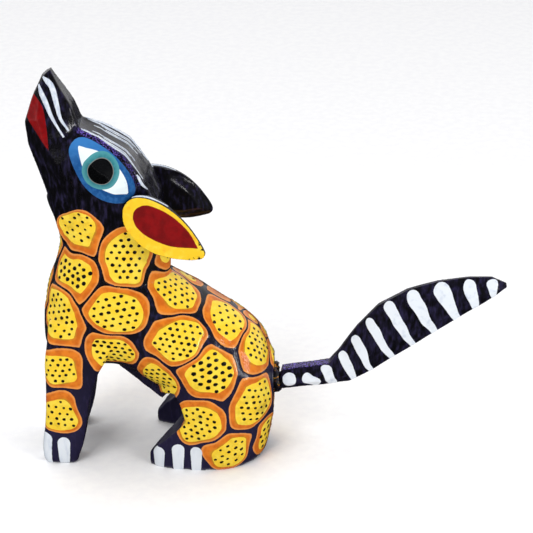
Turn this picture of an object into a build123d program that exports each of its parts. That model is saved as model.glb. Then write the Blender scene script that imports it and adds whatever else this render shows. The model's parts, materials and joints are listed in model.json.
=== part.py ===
from build123d import *
import math
import os

# A sitting, howling coyote in carved and painted copal wood.
# Millimetres. +Z is up, the animal faces -X and its left side is -Y. The origin is on the
# ground, under the middle of the whole figure. Every piece is mirrored about Y = 0.

# ---------------------------------------------------------------- driving dimensions
SNOUT_HEIGHT = 152.8          # ground to the tip of the snout

# Torso: upright ovals across the body, (x, lowest, highest, half width)
TORSO_OVALS = [
    (-83.8, 43.0, 60.0, 6.0),
    (-80.0, 36.0, 68.0, 12.5),
    (-72.0, 34.0, 76.0, 16.5),
    (-58.0, 35.5, 81.0, 18.5),
    (-46.0, 30.0, 78.5, 19.0),
    (-34.0, 21.5, 72.0, 20.5),
    (-22.0, 9.0, 64.2, 21.5),
    (-11.0, 4.0, 57.0, 20.5),
    (-3.0, 6.0, 49.0, 16.5),
    (1.6, 14.0, 40.0, 9.5),
]

# Seat: level ovals that carry the haunches down to the ground, (z, front, back, half width)
SEAT_OVALS = [
    (0.0, -41.0, -1.4, 21.0),
    (10.0, -43.0, 0.9, 22.5),
    (24.0, -43.5, 1.9, 22.6),
    (38.0, -42.0, 0.6, 21.0),
    (50.0, -38.0, -7.0, 15.0),
]

# Neck: level ovals from the shoulders into the head, (z, front, back, half width)
NECK_OVALS = [
    (52.0, -84.0, -46.0, 17.8),
    (66.0, -83.0, -39.0, 17.0),
    (77.0, -79.6, -36.6, 14.2),
    (86.0, -77.4, -37.6, 12.2),
    (95.0, -79.0, -39.5, 11.6),
    (104.0, -81.6, -41.5, 11.4),
]

# Head: eight-sided sections from the nape to the snout tip. Each one has its throat point,
# its crown point and its half widths at the crown, the brow side, the cheek and the throat.
HEAD_SECTIONS = [
    ((-75.6, 84.0), (-38.6, 93.0), (8.0, 10.5, 10.5, 5.5)),
    ((-76.9, 90.0), (-40.2, 103.5), (10.2, 12.2, 11.4, 5.5)),
    ((-78.0, 96.0), (-44.5, 112.8), (10.6, 12.9, 11.9, 5.5)),
    ((-80.2, 104.5), (-51.8, 122.4), (9.6, 13.2, 12.0, 5.0)),
    ((-83.4, 114.5), (-61.0, 129.0), (7.4, 11.6, 11.0, 4.4)),
    ((-86.8, 125.0), (-67.8, 131.6), (5.3, 8.4, 8.8, 3.8)),
    ((-87.8, 133.0), (-70.8, 139.2), (5.0, 6.6, 7.0, 3.4)),
    ((-84.9, 142.3), (-74.5, 146.1), (3.7, 4.8, 5.0, 2.6)),
    ((-81.3, 149.8), (-77.9, SNOUT_HEIGHT - 0.2), (1.7, 2.3, 2.3, 1.5)),
]
BROW_LEVEL = 0.74             # where the eye side starts, as a part of throat to crown
CHEEK_LEVEL = 0.32

# Front legs: level rounded oblongs, (z, front, back, inner, outer), y given for one side
LEG_OBLONGS = [
    (0.0, -84.4, -72.4, 8.6, 18.4),
    (5.0, -85.2, -70.6, 8.0, 18.8),
    (16.0, -84.0, -68.4, 7.0, 18.4),
    (32.0, -83.0, -65.0, 5.0, 18.0),
    (46.0, -82.6, -58.6, 3.0, 17.6),
    (58.0, -81.0, -55.0, 2.0, 16.0),
]
LEG_CORNER = 2.6

# Hind feet: side outline and footprint, one side
FOOT_SIDE = [(-44.8, 0.0), (-44.8, 4.2), (-41.0, 9.2), (-35.8, 14.6), (-30.4, 20.0), (-17.0, 24.0), (-17.0, 0.0)]
FOOT_PRINT = [(-44.8, 14.8), (-44.5, 17.2), (-41.0, 19.4), (-35.5, 20.9), (-24.0, 21.6), (-17.0, 19.0),
              (-17.0, 8.0), (-36.2, 11.4)]

# The open arch between the front legs and the hind feet, and the wedge between the feet
ARCH_SIDE = [(-46.0, -1.0), (-44.8, 4.2), (-35.8, 14.6), (-30.4, 20.0), (-32.4, 26.2), (-35.2, 30.4),
             (-46.0, 24.0), (-60.0, 20.0), (-60.0, -1.0)]
FEET_GAP = [(-50.0, 15.0), (-36.6, 11.4), (-29.5, 5.0), (-27.5, 0.0), (-29.5, -5.0), (-36.6, -11.4), (-50.0, -15.0)]
FEET_GAP_HEIGHT = 20.0

CLEAR_OF_BODY = 40.0          # how far a cutting shape runs past the body
BELOW_GROUND = -1.0

# Keel under the belly
KEEL_SIDE = [(-58.0, 40.0), (-57.0, 34.4), (-41.0, 20.4), (-38.6, 23.0), (-38.6, 32.0)]
KEEL_HALF_WIDTH = 3.2

# Tail: crosswise sections, (top, bottom, half thickness at the ridge)
TAIL_SECTIONS = [
    ((4.6, 33.6), (3.2, 25.2), 3.8),
    ((22.6, 36.6), (20.8, 27.6), 4.0),
    ((26.4, 42.0), (30.2, 29.2), 4.2),
    ((32.8, 52.0), (39.4, 34.8), 4.2),
    ((40.6, 61.0), (48.2, 41.2), 4.1),
    ((51.0, 67.4), (57.2, 47.6), 3.9),
    ((62.0, 71.0), (67.4, 54.8), 3.5),
    ((74.0, 73.0), (77.2, 61.6), 2.9),
    ((82.0, 73.2), (83.6, 66.0), 2.1),
    ((87.5, 71.0), (87.8, 69.2), 1.1),
]
TAIL_RIDGE_LEVEL = 0.30       # the ridge runs low on the tail's side
TAIL_EDGE = 0.55              # half width of the top and bottom edges, as a part of the ridge's

# Tail joint: a whittled dowel between the rump and the tail's flat end
PEG_RADIUS = 2.0
PEG_CLEARANCE = 0.05
PEG_END_ROOM = 0.5            # air past each end of the dowel
PEG_CHAMFER = 0.4
PEG_IN_RUMP = 13.0
PEG_IN_TAIL = 12.0
PEG_LIFT_DEGREES = 9.0        # the stub rises a little from level

# Ears: a pointed leaf, (along, across) from its root, and a tongue on its inner face
EAR_ROOT = (-51.0, 11.2, 103.2)
EAR_TIP = (-21.0, 17.4, 88.6)
EAR_LEAN_DEGREES = 5.0
EAR_LENGTH = math.dist(EAR_ROOT, EAR_TIP)
EAR_UPPER = 9.9
EAR_LOWER = 8.8
EAR_THICK = 3.4
EAR_SEAM = 0.12               # fine joint line round the ear's root
EAR_SEAT_CUT = 20.0           # how far outwards the seat for the ear's root is cut
TONGUE = (7.0, 3.4, 6.0)      # along the leaf, across it, depth into the head
TONGUE_FROM_ROOT = 6.5
TONGUE_CLEARANCE = 0.06


# ---------------------------------------------------------------- helpers
def upright_oval(x, low, high, half_width):
    """An oval that stands across the body at x."""
    middle = Plane(origin=(x, 0, (low + high) / 2), x_dir=(0, 1, 0), z_dir=(1, 0, 0))
    return middle * Ellipse(half_width, (high - low) / 2)


def level_oval(z, front, back, half_width):
    """A level oval at height z."""
    return Pos((front + back) / 2, 0, z) * Ellipse((back - front) / 2, half_width)


def side_prism(outline, y_low, y_high):
    """The solid that a side outline, (x, z) points, sweeps from y_low to y_high."""
    face = make_face(Polyline([(x, y_low, z) for x, z in outline], close=True))
    return extrude(face, amount=y_high - y_low, dir=(0, 1, 0))


def level_prism(outline, z_low, z_high):
    """The solid that a plan outline, (x, y) points, sweeps from z_low to z_high."""
    face = make_face(Polyline([(x, y, z_low) for x, y in outline], close=True))
    return extrude(face, amount=z_high - z_low, dir=(0, 0, 1))


def both_sides(solid):
    """A solid and its mirror image across Y = 0."""
    return [solid, mirror(solid, about=Plane.XZ)]


# ---------------------------------------------------------------- carved body
def head_section(throat, crown, widths):
    """One eight-sided section of the head, from its throat and crown points."""
    levels = (1.0, BROW_LEVEL, CHEEK_LEVEL, 0.0)
    spots = []
    for level, width in zip(levels, widths):
        x = throat[0] + (crown[0] - throat[0]) * level
        z = throat[1] + (crown[1] - throat[1]) * level
        spots.append((x, width, z))
    far_side = [(x, -width, z) for x, width, z in reversed(spots)]
    return make_face(Polyline(spots + far_side, close=True))


def head():
    return loft([head_section(*row) for row in HEAD_SECTIONS], ruled=True)


def torso():
    return loft([upright_oval(*row) for row in TORSO_OVALS])


def seat():
    return loft([level_oval(*row) for row in SEAT_OVALS])


def neck():
    return loft([level_oval(*row) for row in NECK_OVALS])


def front_leg():
    sections = []
    for z, front, back, inner, outer in LEG_OBLONGS:
        oblong = RectangleRounded(back - front, outer - inner, LEG_CORNER)
        sections.append(Pos((front + back) / 2, (inner + outer) / 2, z) * oblong)
    return loft(sections)


def hind_foot():
    return side_prism(FOOT_SIDE, 0, CLEAR_OF_BODY) & level_prism(FOOT_PRINT, 0, CLEAR_OF_BODY)


def tail_axis():
    """A plane at the tail joint: its origin on the tail's flat end, its Z along the dowel."""
    top, bottom, _ = TAIL_SECTIONS[0]
    lift = math.radians(PEG_LIFT_DEGREES)
    middle = ((top[0] + bottom[0]) / 2, 0, (top[1] + bottom[1]) / 2)
    return Plane(origin=middle, x_dir=(0, 1, 0), z_dir=(math.cos(lift), 0, math.sin(lift)))


def carved_body():
    haunches = seat() - side_prism(ARCH_SIDE, -CLEAR_OF_BODY, CLEAR_OF_BODY)
    haunches += both_sides(hind_foot())
    haunches -= level_prism(FEET_GAP, BELOW_GROUND, FEET_GAP_HEIGHT)
    body = haunches + torso() + neck() + head() + both_sides(front_leg())
    body += side_prism(KEEL_SIDE, -KEEL_HALF_WIDTH, KEEL_HALF_WIDTH)
    socket = Cylinder(PEG_RADIUS + PEG_CLEARANCE, 2 * (PEG_IN_RUMP + PEG_END_ROOM))
    body -= tail_axis() * socket
    for side in (-1, 1):
        body -= ear_recess(side)
    return body.solid()


# ---------------------------------------------------------------- ears
def ear_plane(side):
    """The ear's inner face: X runs from root to tip, Z points out of the head."""
    root = Vector(EAR_ROOT[0], side * EAR_ROOT[1], EAR_ROOT[2])
    tip = Vector(EAR_TIP[0], side * EAR_TIP[1], EAR_TIP[2])
    along = (tip - root).normalized()
    lean = math.radians(EAR_LEAN_DEGREES)
    outward = Vector(0, side * math.cos(lean), -math.sin(lean))
    outward = (outward - along * outward.dot(along)).normalized()
    return Plane(origin=root, x_dir=along, z_dir=outward)


def ear_outline(side, grow=0.0):
    """The pointed leaf, in the ear's own plane. Its upper edge is the fuller one."""
    across = -side                      # the plane's Y points up on one side, down on the other
    root = (-1.0 - grow, 1.0)
    point = (EAR_LENGTH + grow, 0)
    upper = [root, (1.2 - grow, 7.4 + grow), (8.0, EAR_UPPER + grow), (22.0, 7.8 + grow), point]
    lower = [point, (21.5, -7.6 - grow), (11.0, -EAR_LOWER - grow), (2.6, -5.2 - grow), root]
    edges = [Spline([(x, across * y) for x, y in run]) for run in (upper, lower)]
    return make_face(edges)


def tongue(side, clearance):
    length, width, depth = TONGUE
    block = Box(length + 2 * clearance, width + 2 * clearance, depth + clearance,
                align=(Align.CENTER, Align.CENTER, Align.MAX))
    return ear_plane(side) * Pos(TONGUE_FROM_ROOT, 0, 0) * block


def ear_recess(side):
    """The seat for the ear's root and the socket for its tongue."""
    leaf = extrude(ear_outline(side, grow=EAR_SEAM), amount=EAR_SEAT_CUT)
    return [ear_plane(side) * Pos(0, 0, -EAR_SEAM) * leaf, tongue(side, TONGUE_CLEARANCE + EAR_SEAM)]


def ear(side):
    leaf = extrude(ear_outline(side), amount=EAR_THICK)
    return (ear_plane(side) * leaf + tongue(side, 0)).solid()


# ---------------------------------------------------------------- tail and its dowel
def tail_section(top, bottom, half_thick):
    """Six-sided section: a narrow top edge, a ridge low on each side, a narrow bottom edge."""
    ridge_x = bottom[0] + (top[0] - bottom[0]) * TAIL_RIDGE_LEVEL
    ridge_z = bottom[1] + (top[1] - bottom[1]) * TAIL_RIDGE_LEVEL
    edge = half_thick * TAIL_EDGE
    spots = [(top[0], edge, top[1]), (ridge_x, half_thick, ridge_z), (bottom[0], edge, bottom[1])]
    far_side = [(x, -y, z) for x, y, z in reversed(spots)]
    return make_face(Polyline(spots + far_side, close=True))


def tail():
    leaf = loft([tail_section(*row) for row in TAIL_SECTIONS], ruled=True)
    hole = Cylinder(PEG_RADIUS + PEG_CLEARANCE, 2 * (PEG_IN_TAIL + PEG_END_ROOM))
    return (leaf - tail_axis() * hole).solid()


def tail_peg():
    length = PEG_IN_RUMP + PEG_IN_TAIL
    middle = (PEG_IN_TAIL - PEG_IN_RUMP) / 2
    dowel = Cylinder(PEG_RADIUS, length)
    dowel = chamfer(dowel.edges().filter_by(GeomType.CIRCLE), PEG_CHAMFER)
    return (tail_axis() * Pos(0, 0, middle) * dowel).solid()


# ---------------------------------------------------------------- write the pieces
pieces = {
    "carved_body": carved_body(),
    "ear_left": ear(-1),
    "ear_right": ear(1),
    "tail_peg": tail_peg(),
    "tail": tail(),
}
os.makedirs("parts", exist_ok=True)
for name, piece in pieces.items():
    export_step(piece, f"parts/{name}.step")
    box = piece.bounding_box()
    print(name, "valid", piece.is_valid, "volume", round(piece.volume), box.min, box.max)
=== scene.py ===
"""A sitting, howling coyote, carved in light wood and hand painted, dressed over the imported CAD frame.

Sizes are in millimetres. The animal faces -X, its left side is -Y, and up is +Z.
"""
import json
import math

import bmesh
import bpy
import numpy as np
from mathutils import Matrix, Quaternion, Vector
from mathutils.bvhtree import BVHTree


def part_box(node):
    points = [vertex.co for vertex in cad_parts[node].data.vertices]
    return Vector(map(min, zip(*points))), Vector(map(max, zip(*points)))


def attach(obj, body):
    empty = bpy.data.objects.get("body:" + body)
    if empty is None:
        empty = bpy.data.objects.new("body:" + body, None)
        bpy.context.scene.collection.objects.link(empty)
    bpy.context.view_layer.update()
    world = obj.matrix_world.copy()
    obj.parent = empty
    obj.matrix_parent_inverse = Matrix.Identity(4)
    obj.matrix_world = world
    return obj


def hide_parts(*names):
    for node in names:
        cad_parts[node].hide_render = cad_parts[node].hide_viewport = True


MM = 0.001
SIDES = (-1, 1)
ALONG, ACROSS, UP = np.eye(3)

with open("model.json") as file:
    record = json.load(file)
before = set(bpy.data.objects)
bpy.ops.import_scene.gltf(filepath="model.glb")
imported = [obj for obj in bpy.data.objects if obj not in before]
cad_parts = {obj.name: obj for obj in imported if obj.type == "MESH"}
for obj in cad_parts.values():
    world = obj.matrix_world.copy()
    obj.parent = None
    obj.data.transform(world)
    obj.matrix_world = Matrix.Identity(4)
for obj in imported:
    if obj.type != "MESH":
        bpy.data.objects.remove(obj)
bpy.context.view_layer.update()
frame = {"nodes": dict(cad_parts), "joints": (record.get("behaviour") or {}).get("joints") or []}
joints = {joint["name"]: joint for joint in frame["joints"]}


# ---- points, curves and fields
def unit(vector):
    return vector / np.linalg.norm(vector)


def waves(points, size, seed, count=8):
    """Smooth bumps of about -1 to 1 that change over the given size."""
    rng = np.random.default_rng(seed)
    total = np.zeros(len(points))
    for _ in range(count):
        way = unit(rng.normal(size=3)) * rng.uniform(0.7, 1.5) * 2 * math.pi / size
        total += np.sin(points @ way + rng.uniform(0, 2 * math.pi))
    return total / math.sqrt(count)


def uneven(points, *rows):
    """Waves added up, each one given by its size, its seed and its height."""
    return sum(waves(points, size, seed) * height for size, seed, height in rows)


def ramp(value, low, high):
    """0 below low, 1 above high, and smooth between them."""
    share = np.clip((value - low) / (high - low), 0, 1)
    return share * share * (3 - 2 * share)


def smooth_line(points, steps=8, closed=False):
    """Points along one smooth line through the given ones."""
    points = np.array(points, float)
    if closed:
        padded = np.vstack([points[-1], points, points[:2]])
    else:
        padded = np.vstack([2 * points[0] - points[1], points, 2 * points[-1] - points[-2]])
    t = np.linspace(0, 1, steps, endpoint=False)[:, None]
    line = []
    for before, here, after, beyond in zip(padded, padded[1:], padded[2:], padded[3:]):
        square = 2 * before - 5 * here + 4 * after - beyond
        cube = 3 * here - before - 3 * after + beyond
        line.append(here + 0.5 * ((after - before) * t + square * t**2 + cube * t**3))
    return np.vstack(line if closed else line + [points[-1:]])


def leaf(upper, lower):
    """A closed outline of two smooth edges that meet in points."""
    return np.vstack([smooth_line(upper)[:-1], smooth_line(lower)[:-1]])


def to_run(places, start, end):
    """Each place's distance from a straight run, and where along it that is, 0 to 1."""
    run = end - start
    share = np.clip((places - start) @ run / max(run @ run, 1e-9), 0, 1)
    return np.linalg.norm(places - start - share[:, None] * run, axis=1), share


def from_line(places, line):
    """Each place's distance from a line of short runs."""
    return np.min([to_run(places, start, end)[0] for start, end in zip(line, line[1:])], 0)


def inside(places, outline):
    """How far each place is inside a closed outline, and less than 0 outside it."""
    nearest = from_line(places, np.vstack([outline, outline[:1]]))
    within = np.zeros(len(places), bool)
    for start, end in zip(outline, np.roll(outline, -1, 0)):
        edge = end - start
        crosses = (start[1] > places[:, 1]) != (end[1] > places[:, 1])
        rise = edge[1] if abs(edge[1]) > 1e-9 else 1e-9
        within ^= crosses & (places[:, 0] < start[0] + edge[0] * (places[:, 1] - start[1]) / rise)
    return np.where(within, nearest, -nearest)


def inside_drop(places, top, foot, top_radius, foot_radius):
    """How far each place is inside a stroke whose round top narrows to its foot."""
    away, share = to_run(places, np.array(top, float), np.array(foot, float))
    return top_radius + (foot_radius - top_radius) * share - away


def softest(first, second, blend):
    """The smaller of two fields, with its corners rounded."""
    share = np.clip(0.5 + 0.5 * (second - first) / blend, 0, 1)
    return second + (first - second) * share - blend * share * (1 - share)


# ---- meshes
def read(mesh, name):
    flat = np.empty(3 * len(mesh.vertices), np.float32)
    mesh.vertices.foreach_get(name, flat)
    return flat.reshape(-1, 3).astype(float)


def coords(mesh):
    return read(mesh, "co") / MM


def set_coords(mesh, points):
    mesh.vertices.foreach_set("co", (points * MM).astype(np.float32).ravel())
    mesh.update()


def normals(mesh):
    return read(mesh, "normal")


def edge_ends(mesh):
    flat = np.empty(2 * len(mesh.edges), np.int32)
    mesh.edges.foreach_get("vertices", flat)
    return flat.reshape(-1, 2)


def relax(points, ends, passes, pull=0.5, push=-0.53):
    """Rounds corners and steps off a mesh without shrinking it."""
    first, second = ends.T
    size = len(points)
    count = np.bincount(ends.ravel(), minlength=size)[:, None]
    for factor in (pull, push) * passes:
        total = [np.bincount(first, points[second, k], size) + np.bincount(second, points[first, k], size)
                 for k in range(3)]
        points = points + factor * (np.stack(total, 1) / count - points)
    return points


def add_object(name, data):
    made = bpy.data.objects.new(name, data)
    bpy.context.scene.collection.objects.link(made)
    return made


def add_piece(name, mesh, body):
    piece = add_object(name, mesh)
    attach(piece, body)
    return piece


def skin(name, node, body, voxel, passes):
    """An even mesh over a CAD node, with the soft edges that a knife and sandpaper leave."""
    mesh = frame["nodes"][node].data.copy()
    mesh.name = name
    welded = bmesh.new()
    welded.from_mesh(mesh)
    bmesh.ops.remove_doubles(welded, verts=welded.verts, dist=0.0005 * MM)
    welded.to_mesh(mesh)
    welded.free()
    mesh.materials.clear()
    piece = add_piece(name, mesh, body)
    even = piece.modifiers.new("even", "REMESH")
    even.mode = "VOXEL"
    even.voxel_size = voxel * MM
    bpy.context.view_layer.update()
    dressed = piece.evaluated_get(bpy.context.evaluated_depsgraph_get())
    piece.data = bpy.data.meshes.new_from_object(dressed)
    piece.data.name = name
    piece.modifiers.clear()
    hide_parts(node)
    set_coords(piece.data, relax(coords(piece.data), edge_ends(piece.data), passes))
    piece.data.shade_smooth()
    return piece


def write_fields(mesh, **fields):
    """Stores the painted shapes on the mesh, one number for each vertex."""
    for name, values in fields.items():
        layer = mesh.attributes.new(name, "FLOAT", "POINT")
        layer.data.foreach_set("value", np.asarray(values, np.float32))


def solid_mesh(name, points, faces):
    mesh = bpy.data.meshes.new(name)
    mesh.from_pydata([tuple(p) for p in np.array(points) * MM], [], faces)
    mesh.validate()
    mesh.update()
    mesh.shade_smooth()
    return mesh


def joined(parts):
    """The points and faces of several parts as one."""
    points, faces = [], []
    for part_points, part_faces in parts:
        faces += [tuple(len(points) + i for i in face) for face in part_faces]
        points += part_points
    return points, faces


def tube_faces(rings, ring_size):
    """The faces of a tube of rings of points, closed at both ends."""
    faces = []
    for ring in range(rings - 1):
        low, high = ring * ring_size, (ring + 1) * ring_size
        for k in range(ring_size):
            after = (k + 1) % ring_size
            faces.append((low + k, low + after, high + after, high + k))
    faces.append(tuple(reversed(range(ring_size))))
    faces.append(tuple((rings - 1) * ring_size + k for k in range(ring_size)))
    return faces


class Surface:
    """Finds places on a mesh, in millimetres."""

    def __init__(self, mesh):
        faces = [tuple(face.vertices) for face in mesh.polygons]
        self.tree = BVHTree.FromPolygons([Vector(p) for p in coords(mesh)], faces)

    def near(self, point):
        place, normal, _, _ = self.tree.find_nearest(Vector(point))
        return np.array(place), np.array(normal)

    def cast(self, point, way):
        place, normal, _, _ = self.tree.ray_cast(Vector(point), Vector(way))
        return (None, None) if place is None else (np.array(place), np.array(normal))


# ---- the dotted patches
# On the left side: x, z, half width, half height, lean, and the way that its orange ring is widest.
SIDE_PATCHES = [
    (-68.5, 92.5, 9.6, 9.8, -20, -30),
    (-52.6, 83.7, 10.8, 12.4, 0, 120),
    (-71.5, 76.0, 9.8, 11.4, 15, -45),
    (-34.0, 69.4, 11.6, 10.8, -15, -120),
    (-55.5, 65.0, 12.8, 10.2, 5, 100),
    (-76.0, 60.0, 9.4, 13.8, 15, -60),
    (-15.4, 58.2, 9.6, 11.6, 25, 180),
    (-34.0, 54.1, 12.0, 10.2, -5, 180),
    (-57.9, 47.9, 11.8, 8.6, -15, 170),
    (-4.2, 47.2, 9.0, 12.8, 8, -100),
    (-76.5, 40.1, 8.8, 9.8, 10, 0),
    (-40.8, 36.6, 8.6, 10.8, 20, 150),
    (-21.5, 41.8, 12.0, 11.4, 20, 200),
    (-5.2, 28.2, 10.4, 12.4, -20, 180),
    (-78.0, 21.8, 7.8, 10.2, 0, 60),
    (-24.7, 21.3, 10.8, 10.2, -10, 100),
    (-14.4, 8.4, 9.6, 8.8, 20, 140),
]
# Over the back, the chest and the rump: x, y, z, half width, half height, lean, ring.
ROUND_PATCHES = [
    (-38.4, -3.4, 80.5, 7.2, 6.6, 0, -90),
    (-27.5, 6.5, 77.0, 9.5, 6.5, 10, -90),
    (-13.0, 6.5, 68.0, 9.0, 6.5, -10, -90),
    (0.5, 5.0, 58.5, 7.5, 7.0, 0, -90),
    (-82.0, 1.0, 85.0, 6.0, 8.0, 10, 45),
    (-88.0, -1.0, 68.0, 6.2, 8.5, -8, 0),
    (-88.0, 1.0, 51.0, 6.5, 7.5, 0, 180),
    (6.0, 1.0, 43.0, 7.5, 7.0, 5, 60),
    (4.0, -12.5, 9.0, 7.5, 9.0, 8, 200),
    (4.0, 12.5, 10.0, 7.5, 9.0, -6, 20),
    (6.0, 0.5, 13.0, 6.0, 8.5, 0, 90),
]
PATCH_GAP = 0.8
RING_WIDTH = 1.7
RING_SWING = 0.75
RING_WAVES = (10, 41, 0.2)
ORANGE_BLEND = 1.8  # how round the corners are between neighbours
YELLOW_BLEND = 3.4
TURN_ALLOWED = 0.25  # a patch stays off wood that faces away from it
FAR = 100.0  # well outside the figure
SIDE_JITTER = 1.3  # the right side is painted to the same plan, not to the same points


class Patch:
    """One patch: its centre, its own flat frame, its half sizes and its ring's widest way."""

    def __init__(self, centre, normal, half_sizes, lean, ring):
        self.centre = centre
        self.normal = normal
        self.half_sizes = np.array(half_sizes, float)
        self.radius = math.sqrt(half_sizes[0] * half_sizes[1])
        self.ring = math.radians(ring)
        flat = ACROSS if abs(normal[0]) > 0.8 else ALONG
        level = unit(flat - (flat @ normal) * normal)
        rise = np.cross(normal, level)
        if rise @ UP < 0:
            rise = -rise
        lean = math.radians(lean)
        self.level = math.cos(lean) * level + math.sin(lean) * rise
        self.rise = math.cos(lean) * rise - math.sin(lean) * level

    def reach(self, points, facing):
        """Each point's distance from the centre, as a share of the patch's size, and its direction."""
        away = points - self.centre
        u, v, depth = away @ self.level, away @ self.rise, away @ self.normal
        turned = np.clip(TURN_ALLOWED - facing @ self.normal, 0, 1)
        share = np.sqrt((u / self.half_sizes[0])**2 + (v / self.half_sizes[1])**2 + (depth / self.radius)**2)
        return share + 0.5 * turned, np.arctan2(v, u)


def plan_patches(surface):
    rng = np.random.default_rng(11)
    patches = []
    for side in SIDES:
        for x, z, half_width, half_height, lean, ring in SIDE_PATCHES:
            shift = (0, 0) if side < 0 else rng.uniform(-SIDE_JITTER, SIDE_JITTER, 2)
            centre, normal = surface.cast((x + shift[0], side * FAR, z + shift[1]), (0, -side, 0))
            patches.append(Patch(centre, normal, (half_width, half_height), lean, ring))
    for x, y, z, half_width, half_height, lean, ring in ROUND_PATCHES:
        centre, normal = surface.near((x, y, z))
        patches.append(Patch(centre, normal, (half_width, half_height), lean, ring))
    return patches


def patch_fields(patches, points, facing):
    """Depth inside the orange and inside the yellow, and the number of the nearest patch."""
    wandering = np.stack([uneven(points, (16, 21 + k, 0.85), (7, 31 + k, 0.14)) for k in range(3)], 1)
    reaches = [patch.reach(points + wandering, facing) for patch in patches]
    shares, angles = (np.stack(column) for column in zip(*reaches))
    order = np.argsort(shares, axis=0)[:2]
    every = np.arange(len(points))
    nearest, second = shares[order[0], every], shares[order[1], every]
    radius = np.array([patch.radius for patch in patches])
    own, other = radius[order[0]], radius[order[1]]
    to_rim = (1 - nearest) * own
    to_neighbour = (second - nearest) * own * other / (own + other) - PATCH_GAP / 2
    orange = softest(to_rim, to_neighbour, ORANGE_BLEND)
    widest = np.array([patch.ring for patch in patches])[order[0]]
    ring = RING_WIDTH + RING_SWING * np.cos(angles[order[0], every] - widest) + uneven(points, RING_WAVES)
    yellow = softest(to_rim, to_neighbour, YELLOW_BLEND) - ring
    return orange, yellow, order[0]


# ---- the head's painting
# Outlines are x and z on its left side.
EYE_OUTLINE = smooth_line([(-71.1, 124.0), (-69.6, 128.4), (-65.6, 129.2), (-60.0, 126.8), (-53.2, 121.8),
                           (-48.6, 115.2), (-47.9, 110.0), (-51.2, 106.4), (-57.0, 106.2), (-62.6, 108.8),
                           (-67.4, 114.4)], closed=True)
EYE_WHITE = leaf([(-67.9, 127.1), (-60.1, 124.6), (-54.8, 120.8), (-51.0, 114.8), (-50.2, 109.4)],
                 [(-50.2, 109.4), (-56.0, 110.1), (-62.0, 113.2), (-66.0, 119.0), (-67.9, 127.1)])
IRIS_CENTRE = np.array((-59.9, 118.2))
IRIS_RADIUS = 6.7
PUPIL_RADIUS = 4.5
MOUTH_OUTLINE = leaf([(-84.6, 144.0), (-80.9, 140.4), (-79.4, 134.0), (-78.5, 124.4)],
                     [(-78.5, 124.4), (-81.8, 128.9), (-85.6, 133.4), (-87.4, 137.6), (-84.6, 144.0)])
# The ridge over the eye.
BROW_EDGE = smooth_line([(-67.9, 6.1, 131.0), (-61.4, 7.4, 128.6), (-55.0, 8.9, 124.5), (-50.4, 9.9, 119.8),
                         (-46.8, 10.8, 113.3)])
BROW_HEIGHT = 0.7
BROW_WIDTH = 1.6
BROW_GLINT_REACH = 1.5  # how far from its edge violet specks are painted over the brow as highlight glints
EYE_BULGE = 0.9
UNPAINTED = -5.0  # depth given to wood that a painted shape does not reach

# ---- toes
# The x and y of each on the left side, and its top.
FRONT_TOES = [(-83.4, -17.8, 13.2), (-77.0, -19.0, 11.6), (-85.0, -11.6, 13.0)]
HIND_TOES = [(-40.9, -19.0, 8.8), (-33.6, -21.2, 11.0), (-26.8, -22.2, 10.4)]
TOE_RADIUS = 2.4
SOLE_RADIUS = 1.9


def toe_field(points):
    toes = [(x, side * y, top) for side in SIDES for x, y, top in FRONT_TOES + HIND_TOES]
    return np.max([inside_drop(points, (x, y, top - TOE_RADIUS), (x, y, 0.0), TOE_RADIUS, SOLE_RADIUS)
                   for x, y, top in toes], 0)


# ---- the carved body
TAIL_AXIS_POINT = np.array(joints["tail_twist"]["pos_m"]) / MM
TAIL_AXIS = unit(np.array(joints["tail_twist"]["axis"], float))
TAIL_BORE_RADIUS = 2.15
BORE_SHAPED = (-13.0, -0.8, 0.7)  # from and to along the tail's axis, and how far into the wall
BORE_BARE = (-16.0, 0.6, 0.4)
BORE_QUIET = (4.0, 8.0)  # no cuts nearer to the bore, the ears and the ground than these
EARS_QUIET = (0.3, 3.0)
GROUND_QUIET = (0.6, 2.0)
BODY_CUTS = [(26, 51, 0.22), (9, 52, 0.07)]
PAINT_THICK = {"orange": 0.10, "yellow": 0.07, "eye": 0.12, "toe": 0.10}
PAINT_EDGE = 0.3  # half the width over which thick paint rises
EAR_BOXES = [[np.array(corner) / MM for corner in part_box(node)] for node in ("ear_left", "ear_right")]


def ring_round_axis(steps):
    """Angles round the tail's axis, each with its direction straight out."""
    across = unit(np.cross(TAIL_AXIS, UP))
    over = np.cross(across, TAIL_AXIS)
    angles = [2 * math.pi * k / steps for k in range(steps)]
    return [(angle, math.cos(angle) * across + math.sin(angle) * over) for angle in angles]


def from_tail_axis(points):
    """Distance along the tail's axis, outwards, and away from it."""
    away = points - TAIL_AXIS_POINT
    along = away @ TAIL_AXIS
    return along, np.linalg.norm(away - along[:, None] * TAIL_AXIS, axis=1)


def in_bore(along, off_axis, span):
    """Whether each point is at the bore's wall, along a part of it."""
    start, end, wall = span
    return (along > start) & (along < end) & (off_axis < TAIL_BORE_RADIUS + wall)


def near_ears(points):
    """1 where an ear is let into the head, and 0 some way from it."""
    outside = [np.maximum(np.maximum(low - points, points - high), 0) for low, high in EAR_BOXES]
    return 1 - ramp(np.min(np.linalg.norm(outside, axis=2), 0), *EARS_QUIET)


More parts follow.
